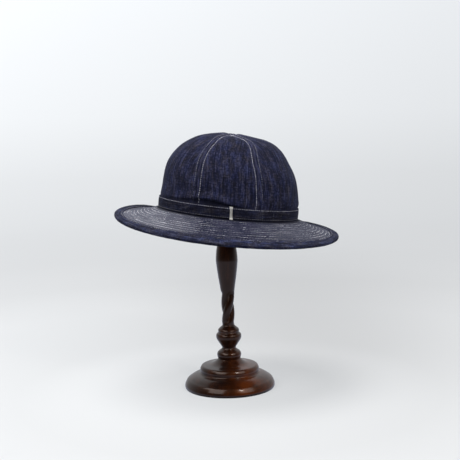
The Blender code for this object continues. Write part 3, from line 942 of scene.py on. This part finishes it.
def make_stand(wood):
    top, base = (turned_outline(rows, BASE_HEIGHT, BASE_RADIUS, 0)
                 for rows in (((1, 0, 0), BASE_ROWS[0]), BASE_ROWS))
    base = np.concatenate([top[1:-1], eased(base)])

    fall = DOME_RADIUS - math.sqrt(DOME_RADIUS ** 2 - HEAD_RADIUS ** 2)
    underside = STAND_HEIGHT - fall - LIP_HEIGHT
    boss = underside - BOSS_HEIGHT
    column = turned_outline(COLUMN_ROWS, COLUMN_HEIGHT, COLUMN_RADIUS, BASE_HEIGHT + SHOULDER_GAP)
    levels = np.linspace(boss - SHOULDER_GAP, column[0, 1] + POLE_OVERLAP, PLAIN_ROWS)
    pole = [(POLE_RADIUS, level) for level in levels]

    bends = np.linspace(DOME_START, math.asin(HEAD_RADIUS / DOME_RADIUS), PLAIN_ROWS)
    centre = STAND_HEIGHT - DOME_RADIUS
    head = [(DOME_RADIUS * math.sin(bend), centre + DOME_RADIUS * math.cos(bend))
            for bend in bends]
    head += [(HEAD_RADIUS, underside + 0.5 * LIP_HEIGHT),
             (HEAD_RADIUS - HEAD_CHAMFER * LIP_HEIGHT, underside),
             (BOSS_RADIUS, underside), (BOSS_RADIUS, boss)]

    post = np.concatenate([pole, eased(column)])
    for name, outline, sides, relief in (("base", base, 160, None), ("post", post, 120, twist),
                                         ("head", np.array(head), 96, None)):
        mesh = turned_mesh(outline, sides, relief)
        new_piece("turned_" + name, mesh, (wood,), "stand_" + name, 50)


# Materials


class Value:
    """An output of a node, which can be summed and multiplied."""

    def __init__(self, looks, socket):
        self.looks = looks
        self.socket = socket

    def __add__(self, other):
        return self.looks.maths("ADD", self, other)

    def __sub__(self, other):
        return self.looks.maths("SUBTRACT", self, other)

    def __rsub__(self, other):
        return self.looks.maths("SUBTRACT", other, self)

    def __mul__(self, other):
        return self.looks.maths("MULTIPLY", self, other)

    def __truediv__(self, other):
        return self.looks.maths("DIVIDE", self, other)

    def at_least(self, floor):
        return self.looks.maths("MAXIMUM", self, floor)


class Looks:
    """The nodes of a material, or of the world, and the shader that they feed."""

    def __init__(self, owner, shader="Principled BSDF"):
        owner.use_nodes = True
        self.owner, self.tree = owner, owner.node_tree
        self.shader = self.tree.nodes[shader]

    def feed(self, socket, value):
        """Links a value to a socket, or sets the socket to a number or a colour."""
        if isinstance(value, Value):
            self.tree.links.new(value.socket, socket)
        else:
            socket.default_value = (*value, 1) if socket.type == "RGBA" else value

    def fill(self, node, **values):
        for key, value in values.items():
            if hasattr(node, key):
                setattr(node, key, value)
            else:
                self.feed(node.inputs[key.replace("_", " ")], value)

    def add(self, kind, output, **values):
        """An output of a new node that has some settings and inputs."""
        node = self.tree.nodes.new("ShaderNode" + kind)
        self.fill(node, **values)
        return Value(self, node.outputs[output])

    def fed(self, kind, output, inputs, **settings):
        """The same, for a node whose inputs go by number."""
        value = self.add(kind, output, **settings)
        for number, part in inputs:
            self.feed(value.socket.node.inputs[number], part)
        return value

    def maths(self, kind, *values):
        return self.fed("Math", 0, enumerate(values), operation=kind)

    def mix(self, share, first, second, kind="MIX"):
        inputs = (0, share), (6, first), (7, second)
        return self.fed("Mix", 2, inputs, data_type="RGBA", blend_type=kind)

    def tinted(self, colour, tint):
        return self.mix(1, colour, tint, "MULTIPLY")

    def parts(self, place):
        """A place's parts: UV is the cloth's own in metres, Object is metres in the frame."""
        first = self.add("SeparateXYZ", "X", Vector=self.add("TexCoord", place))
        return [Value(self, part) for part in first.socket.node.outputs]

    def noise(self, scale, detail, roughness, place="UV"):
        """Noise over a place, with a scale for each of its parts."""
        place = self.add("Mapping", "Vector", Vector=self.add("TexCoord", place), Scale=scale)
        return self.add("TexNoise", "Fac", Vector=place, Scale=1, Detail=detail,
                        Roughness=roughness)

    def layers(self, rows, place="UV"):
        """Noises summed round one half, each spread by its weight, and the first one alone."""
        noises = [self.noise(*row[:3], place) for row in rows]
        total = 0.5
        for value, row in zip(noises, rows):
            total = (value - 0.5) * row[3] + total
        return total, noises[0]

    def ramp(self, value, *stops):
        """A colour for each value: stops are (place, colour), or (place, share) for greys."""
        ramp = self.add("ValToRGB", "Color", Fac=value)
        elements = ramp.socket.node.color_ramp.elements
        for number, (place, colour) in enumerate((stops[0], stops[-1], *stops[1:-1])):
            element = elements[number] if number < 2 else elements.new(place)
            element.position = place
            element.color = (*(colour if isinstance(colour, tuple) else (colour,) * 3), 1)
        return ramp

    def share_along_axis(self, axis, *stops):
        """A share along one of the frame's own axes: stops are (metres, share)."""
        first, length = stops[0][0], stops[-1][0] - stops[0][0]
        run = (self.parts("Object")[axis] - first) / length
        return self.ramp(run, *[((place - first) / length, share) for place, share in stops])

    def twill(self, share):
        """Fine slanting ribs of the weave."""
        ribs = self.add("TexWave", "Fac", Vector=self.add("TexCoord", "UV"), Scale=TWILL_SCALE,
                        bands_direction="DIAGONAL", Distortion=1.2, Detail=1)
        return ribs * share

    def finish(self, colour, relief, depth, strength, **values):
        """The material with its colour, and with a relief of some depth in metres."""
        normal = self.add("Bump", "Normal", Height=relief, Distance=depth, Strength=strength)
        self.fill(self.shader, Base_Color=colour, Normal=normal, **values)
        return self.owner


def new_looks(name):
    return Looks(bpy.data.materials.new(name))


# Layers of noise: waves per metre each way, detail, roughness and weight. Denim has fine threads,
# upright slubs, specks, broken weft lines and patches; the brim has flecks, rings and patches
DENIM_LAYERS = (
    ((1300, 90, 1), 2, 0.6, 0.8),
    ((520, 26, 1), 2, 0.55, 1.3),
    ((420, 380, 1), 2, 0.6, 1),
    ((60, 640, 1), 2, 0.6, 0.6),
    ((110, 45, 1), 3, 0.6, 0.9),
)
DENIM_HUE = ((130, 60, 1), 3, 0.65)
BROWNER = (1.14, 1, 0.78)
BLUER = (0.86, 0.96, 1.22)
QUILT_LAYERS = (
    ((520, 260, 1), 3, 0.65, 1.1),
    ((430, 40, 1), 2, 0.6, 0.8),
    ((30, 22, 1), 3, 0.6, 0.6),
)
TAPE_LAYERS = (((2200, 700, 1), 2, 0.5, 0.6), ((260, 220, 1), 2, 0.5, 0.6))
WOOD_LAYERS = (((90, 90, 9), 4, 0.6, 0.75), ((900, 900, 45), 2, 0.6, 0.25))
TWIST_LINES = ((2600, 2600, 2600), 1, 0.5, "Object")
TWILL_SCALE = 500
STITCH_CHANGES = 420
CLOTH = {"Roughness": 0.95, "Specular_IOR_Level": 0.12, "Sheen_Weight": 0.05,
         "Sheen_Roughness": 0.5, "Sheen_Tint": (0.5, 0.56, 0.85)}
LACQUER = {"Roughness": 0.36, "Specular_IOR_Level": 0.22, "Specular_Tint": (1, 0.36, 0.1),
           "Coat_Weight": 0.56, "Coat_Roughness": 0.17, "Coat_IOR": 1.5}
CLOTH_DEPTH = 0.0003
THREAD_DEPTH = 0.0001
FINE_DEPTH = 0.0002
WEAR_SHARE = 1.5
# Share of the dark colour that the painted shade below the tuck's lip turns to
LIP_SHADE_DARKNESS = 0.7
RUBBED_SHARE = 1.1

# Shares by place: an axis, then metres along it and a share. The brim's threads and cloth get a
# painted sheen towards its left and right ends, the crown's dull rows grow paler higher up, the
# binding's row gets a painted sheen at the ends and its cloth a painted shade on the far side
BRIM_THREAD_SHEEN = (0, (-0.16, 0.61), (-0.09, 0.61), (-0.03, 0.23), (0.03, 0.16), (0.09, 0.36),
                    (0.16, 0.54))
BRIM_CLOTH_SHEEN = (0, (-0.16, 0.97), (-0.09, 1), (-0.03, 0.03), (0.03, 0), (0.09, 0.4),
                   (0.16, 0.72))
# The crown's dull rows of stitches are paler higher up
SEAM_PALER_HIGHER = (2, (0.26, 0.26), (0.3, 0.38), (0.325, 0.68), (0.37, 0.82))
# Painted sheen on the binding's row of stitches, towards the brim's left and right ends
EDGE_THREAD_SHEEN = (0, (-0.16, 0.74), (-0.11, 0.6), (-0.07, 0.3), (0.07, 0.28), (0.11, 0.5), (0.16, 0.6))
# Painted shade: the binding darkens towards its far side
BINDING_FAR_SHADE = (1, (-0.15, 1), (0.02, 1), (0.09, 0.42), (0.15, 0.34))
# Colour of the pale flecks that paint a sheen on the brim's ends
BRIM_SHEEN_COLOUR = (0.1, 0.103, 0.13)
# Painted shade on the brim's cloth in the groove beside the band: metres from it and a share
BAND_SIDE_SHADE = ((0, 0.12), (0.0025, 0.25), (0.007, 1))

# Denims: dark, middle and light colour, and for the binding its painted shade on the far side
DENIMS = {
    "crown_denim": ((0.0036, 0.0044, 0.0125), (0.0108, 0.0118, 0.0285), (0.041, 0.042, 0.077)),
    "crown_denim_inside": ((0.16, 0.17, 0.22), (0.26, 0.27, 0.34), (0.38, 0.4, 0.46)),
    "band_denim": ((0.003, 0.003, 0.008), (0.008, 0.0085, 0.018), (0.032, 0.033, 0.052)),
    "binding_denim": ((0.004, 0.005, 0.013), (0.014, 0.015, 0.032), (0.05, 0.056, 0.098),
                      BINDING_FAR_SHADE),
    "brim_denim": ((0.006, 0.007, 0.018), (0.018, 0.019, 0.04), (0.06, 0.06, 0.09)),
}
# Threads: pale and dark colour, changes per metre, paleness by place (a painted sheen on the brim's
# and binding's rows, paler higher up on the crown's dull rows), how uneven single stitches are, how
# far rows differ by turns, and how softly pale turns to dark
THREADS = {
    "pale_thread": ((0.46, 0.46, 0.52), (0.22, 0.22, 0.27), 60, None, 0.7, 0, 0.16),
    "dull_thread": ((0.24, 0.24, 0.29), (0.03, 0.031, 0.048), 60, SEAM_PALER_HIGHER, 0.7, 0, 0.16),
    "foot_thread": ((0.17, 0.17, 0.19), (0.08, 0.08, 0.095), 60, None, 0.7, 0, 0.16),
    "quilt_thread": ((0.86, 0.86, 0.9), (0.056, 0.058, 0.1), 38, BRIM_THREAD_SHEEN, 0.3, 0.26,
                     0.24),
    "edge_thread": ((0.26, 0.26, 0.3), (0.04, 0.041, 0.06), 60, EDGE_THREAD_SHEEN, 0.7, 0, 0.16),
}

# The tape, and the painted shade on its pinched middle, which leaves its ends paler: shares of its
# height and of its colour
TAPE_COLOURS = ((0.3, (0.2, 0.195, 0.18)), (0.55, (0.42, 0.41, 0.38)), (0.75, (0.6, 0.58, 0.54)))
TAPE_MIDDLE_SHADE = ((0, 2.1), (0.1, 2.1), (0.17, 0.9), (0.8, 0.95), (0.9, 1.9), (1, 1.9))

# The wood, a painted warm light broken up on the foot right of the post, and the foot's darker
# lower edge
WOOD_COLOURS = ((0.32, (0.003, 0.0014, 0.001)), (0.5, (0.0115, 0.0033, 0.0014)),
                (0.7, (0.044, 0.011, 0.0027)))
WARM_LIGHT_ACROSS = (0, (-0.012, 0), (0.006, 0.22), (0.024, 0.95), (0.04, 0.55), (0.07, 0.25))
WARM_LIGHT_RISE = (2, (0, 1), (0.034, 1), (0.044, 0.25), (0.062, 0))
WARM_LIGHT_BREAKS = ((48, 48, 120), 3, 0.6, "Object")
WARM_LIGHT_CONTRAST = 4
WARM_LIGHT_LEVEL = -1.1
WARM_LIGHT_COLOUR = (0.088, 0.018, 0.0015)
FOOT_EDGE = (2, (0, 1), (0.0027, 1), (0.0036, 0), (0.01, 0))
FOOT_EDGE_COLOUR = (0.0012, 0.0014, 0.003)


def denim(name):
    """Indigo denim with patches that are bluer or browner, rubbed seams and painted shade below the
    tuck's lip.
    """
    looks, (dark, middle, light, *paleness_by_place) = new_looks(name), DENIMS[name]
    value, fine = looks.layers(DENIM_LAYERS)
    colour = looks.ramp(value, (0.2, dark), (0.5, middle), (0.85, light))
    hue = looks.ramp(looks.noise(*DENIM_HUE), (0.36, BROWNER), (0.62, BLUER))
    wear_and_shade = looks.add("Attribute", "Fac", attribute_name="wear_and_shade")
    rubbed = (wear_and_shade * (fine * RUBBED_SHARE)).at_least(0)
    # Painted shade: below the tuck's lip the attribute is negative and darkens the cloth
    lip_shade = (wear_and_shade * -1).at_least(0)
    pale, deep = (tuple(share * part for part in shade)
                  for share, shade in ((WEAR_SHARE, light), (LIP_SHADE_DARKNESS, dark)))
    colour = looks.mix(rubbed, looks.tinted(colour, hue), pale)
    colour = looks.mix(lip_shade, colour, deep)
    for places in paleness_by_place:
        colour = looks.tinted(colour, looks.share_along_axis(*places))
    return looks.finish(colour, looks.twill(0.4) + value, CLOTH_DEPTH, strength=0.8, **CLOTH)


def quilted(name):
    """Denim of the brim, with broken pale flecks along its rings, kept towards its left and right
    ends as a painted sheen.
    """
    looks, (dark, middle, light) = new_looks(name), DENIMS[name]
    value, _ = looks.layers(QUILT_LAYERS)
    colour = looks.ramp(value, (0.25, dark), (0.52, middle), (0.85, light))
    # Painted sheen: pale flecks towards the brim's left and right ends
    colour = looks.mix((value + 0.5) * looks.share_along_axis(*BRIM_CLOTH_SHEEN), colour, BRIM_SHEEN_COLOUR)
    # Painted shade on the brim's cloth in the groove beside the band
    colour = looks.tinted(colour, looks.ramp(looks.parts("UV")[0], *BAND_SIDE_SHADE))
    return looks.finish(colour, looks.twill(0.3) + value, CLOTH_DEPTH, strength=0.8, **CLOTH)


def thread_look(name):
    """Thread whose paleness changes along each row and from one row to the next, and by place, as a
    painted sheen on the brim's and binding's rows.
    """
    looks, (colour, shade, run, paleness_by_place, uneven, parity, spread) = new_looks(name), THREADS[name]
    wear_and_sheen, _ = looks.layers((((7, run, 1), 1, 0.5, 1.1),
                            ((7, STITCH_CHANGES, 1), 1, 0.5, uneven)))
    # Painted sheen on the brim's and binding's rows towards the ends; the crown's dull rows paler
    # higher up
    if paleness_by_place:
        wear_and_sheen = wear_and_sheen + (looks.share_along_axis(*paleness_by_place) - 0.5)
    if parity:
        wear_and_sheen = looks.maths("COSINE", looks.parts("UV")[0] * (math.pi / ROW_MARK)) * parity + wear_and_sheen
    colour = looks.ramp(wear_and_sheen, (0.5 - spread, shade), (0.5 + spread, colour))
    lines = looks.noise(*TWIST_LINES)
    return looks.finish(colour, lines, THREAD_DEPTH, strength=0.6, Roughness=0.75)


def tape_look():
    looks = new_looks("pale_tape")
    value, weave = looks.layers(TAPE_LAYERS)
    # Painted shade: the tape's pinched middle is darker than its ends
    ends = looks.ramp(looks.parts("UV")[1] / (BAND_HEIGHT + TAB_RISE), *TAPE_MIDDLE_SHADE)
    colour = looks.tinted(looks.ramp(value, *TAPE_COLOURS), ends)
    return looks.finish(colour, weave, FINE_DEPTH, strength=0.7, Roughness=0.8)


def wood_look():
    looks = new_looks("mahogany")
    value, _ = looks.layers(WOOD_LAYERS, "Object")
    # Painted warm light: an orange patch on the foot, right of the post
    warm_light = looks.share_along_axis(*WARM_LIGHT_ACROSS) * looks.share_along_axis(*WARM_LIGHT_RISE)
    warm_light = warm_light * (looks.noise(*WARM_LIGHT_BREAKS) * WARM_LIGHT_CONTRAST + WARM_LIGHT_LEVEL)
    warm_light = looks.maths("MINIMUM", warm_light.at_least(0), 1)
    colour = looks.mix(warm_light, looks.ramp(value, *WOOD_COLOURS), WARM_LIGHT_COLOUR)
    # The foot's lowest few millimetres are darker
    colour = looks.mix(looks.share_along_axis(*FOOT_EDGE), colour, FOOT_EDGE_COLOUR)
    return looks.finish(colour, value, FINE_DEPTH, strength=0.25, **LACQUER)


# Stage

FLOOR_START = 0.3
FLOOR_RADIUS = 2.1
FLOOR_RINGS = 8
COVE_RADIUS = 1.3
COVE_START = 0.08
COVE_RINGS = 18
WALL_HEIGHT = 3.2
STAGE_SIDES = 96
PAPER = 0.3
PAPER_TINT = np.array((0.942, 0.973, 1))
# The paper's painted glow by distance from the stand, its slant from left to right and its painted
# shadow of the hat: depth of the shade, then middle and size along X and Y
GLOW = ((0, 0.688), (0.3, 0.49), (0.6, 0.498), (0.9, 0.445), (1.3, 0.458), (2, 0.531),
        (2.8, 0.615), (3.4, 0.73), (4.4, 0.833), (6, 0.833))
GLOW_RUN = 6
GLOW_SLANT = 0.1
SHADE = (0.403, 0.126, 0.314, 0.441, 0.683)

# The sky: by how far a way points back and a little to the right, and by how high it points
RIGHT_SHARE = 0.03
SKY_ROUND = ((0, (0.05, 0.05, 0.052)), (0.28, (0.09, 0.09, 0.092)), (0.45, (0.26, 0.26, 0.27)),
             (0.65, (0.5, 0.51, 0.53)), (1, (0.7, 0.72, 0.75)))
SKY_ABOVE = ((0.3, 0.7), (0.55, 0.8), (1, 1.5))
TABLE_SHARE = ((0.405, 1), (0.455, 0))
TABLE = ((0.18, (0.28, 0.28, 0.29)), (0.27, (0.58, 0.63, 0.77)), (0.43, (0.58, 0.63, 0.77)))

# Lamps: name, place, size, power and colour. All look at one point
LAMP_TARGET = Vector((0, 0, 0.25))
WHITE = (1, 1, 1)
LAMPS = (
    ("key_softbox", (-1.2, -1.5, 1.5), 1.5, 20.4, WHITE),
    ("top_softbox", (-0.15, -0.1, 2.3), 1, 31, WHITE),
    ("left_softbox", (-1.5, -0.5, 1.6), 0.8, 6, WHITE),
    ("right_softbox", (1.35, -1.25, 1.3), 1.3, 12, WHITE),
    ("front_right_lamp", (0.85, -1.35, 1.25), 0.16, 6.5, (1, 0.96, 0.9)),
)

# Camera: worked out from the photo's 460 pixel frame
CAMERA_PLACE = (0.0058, -1.4, 0.397)
CAMERA_PITCH = math.radians(6.9)
CAMERA_ROLL = math.radians(1.5)
FOCAL_PIXELS = 990
FRAME_PIXELS = 460
SENSOR = 36


def make_stage():
    """A pale floor that sweeps up into a round backdrop, so no edge shows from any side."""
    outline = [(radius, 0) for radius in np.linspace(FLOOR_START, FLOOR_RADIUS, FLOOR_RINGS)]
    for bend in np.linspace(COVE_START, 0.5 * math.pi, COVE_RINGS):
        reach = FLOOR_RADIUS + COVE_RADIUS * math.sin(bend)
        outline.append((reach, COVE_RADIUS * (1 - math.cos(bend))))
    outline = np.array(outline + [(FLOOR_RADIUS + COVE_RADIUS, WALL_HEIGHT)])
    reach, angle = grid(outline[:, 0], once_round(STAGE_SIDES))
    points = polar(reach, angle, np.repeat(outline[:, 1:], STAGE_SIDES, 1))
    index = numbered(points)
    mesh = bpy.data.meshes.new("studio_floor")
    mesh.from_pydata(points.reshape(-1, 3).tolist(), [], round_faces(index) + [index[0].tolist()])
    mesh.materials.append(paper_look())
    mesh.shade_smooth()
    floor = add_object("studio_floor", mesh)
    floor.visible_glossy = False
    floor.visible_diffuse = False
    floor.visible_shadow = False


def paper_look():
    """Pale paper with a painted glow by the distance from the stand, a little more at the left, and
    a painted shadow behind and right of the stand.
    """
    looks = new_looks("studio_paper")
    x, y, z = looks.parts("Object")
    run = (looks.maths("SQRT", x * x + y * y) + z) / GLOW_RUN
    glow = looks.ramp(run, *[(away / GLOW_RUN, tuple(share * PAPER_TINT)) for away, share in GLOW])
    depth, middle_x, size_x, middle_y, size_y = SHADE
    across, along = (x - middle_x) / size_x, (y - middle_y) / size_y
    # Painted shadow of the hat on the paper
    shade = looks.maths("POWER", 1 / math.e, across * across + along * along) * depth
    light = (1 - x * GLOW_SLANT) * (1 - shade)
    glow = looks.add("VectorMath", "Vector", operation="SCALE", Vector=glow, Scale=light)
    looks.fill(looks.shader, Emission_Color=glow, Emission_Strength=1,
               Base_Color=(PAPER, PAPER, PAPER), Roughness=1, Specular_IOR_Level=0)
    return looks.owner


def make_world():
    """Light by direction: dark from the front, bright from the sides, the back and above, with
    a paler belt under the horizon that stands for the table."""
    world = bpy.data.worlds.new("studio")
    looks = Looks(world, "Background")
    x, y, z = looks.parts("Generated")
    behind, level = y * 0.5 + 0.5, z * 0.5 + 0.5
    round_about = looks.ramp(behind + x * RIGHT_SHARE, *SKY_ROUND)
    sky = looks.tinted(round_about, looks.ramp(level, *SKY_ABOVE))
    table_share = looks.ramp(level, *TABLE_SHARE)
    colour = looks.mix(table_share, sky, looks.ramp(level, *TABLE))
    looks.fill(looks.shader, Color=colour, Strength=1)
    bpy.context.scene.world = world


def make_light():
    for name, place, size, power, colour in LAMPS:
        light = bpy.data.lights.new(name, "AREA")
        light.energy = power
        light.color = colour
        light.shape = "RECTANGLE"
        light.size, light.size_y = size, size
        lamp = add_object(name, light)
        lamp.location = place
        lamp.rotation_euler = (LAMP_TARGET - Vector(place)).to_track_quat("-Z", "Y").to_euler()


def make_camera():
    data = bpy.data.cameras.new("camera")
    data.sensor_width = SENSOR
    data.lens = SENSOR * FOCAL_PIXELS / FRAME_PIXELS
    camera = add_object("camera", data)
    pitch = Matrix.Rotation(0.5 * math.pi - CAMERA_PITCH, 4, "X")
    roll = Matrix.Rotation(-CAMERA_ROLL, 4, "Z")
    camera.matrix_world = Matrix.Translation(CAMERA_PLACE) @ pitch @ roll
    bpy.context.scene.camera = camera


def make_crown(bright):
    outside, inside = denim("crown_denim"), denim("crown_denim_inside")
    cloths = [crown_panel(index, side, (outside, inside)) for index, side in enumerate(PANEL_NAMES)]
    seams = crown_rows(bright, thread_look("dull_thread"))
    for number, (piece, width, length) in enumerate(cloths):
        PANEL_SHARE * width * length
        seams if number == 0 else ()


def make_hat():
    bright = thread_look("pale_thread")
    make_crown(bright)

    band = make_band(denim("band_denim"))
    tab = make_tab(tape_look())
    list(band_rows(bright, thread_look("foot_thread")))

    brim = make_brim(quilted("brim_denim"))
    thread = thread_look("quilt_thread")
    rows = [brim_rows(thread, side, name)
            for side, name in ((1, "brim_stitches_above"), (-1, "brim_stitches_below"))]

    edge = make_binding(denim("binding_denim"))
    edge_rows = binding_rows(thread_look("edge_thread"))


bpy.context.scene.view_settings.view_transform = "Standard"
make_camera()
make_stage()
make_world()
make_light()
make_hat()
make_stand(wood_look())
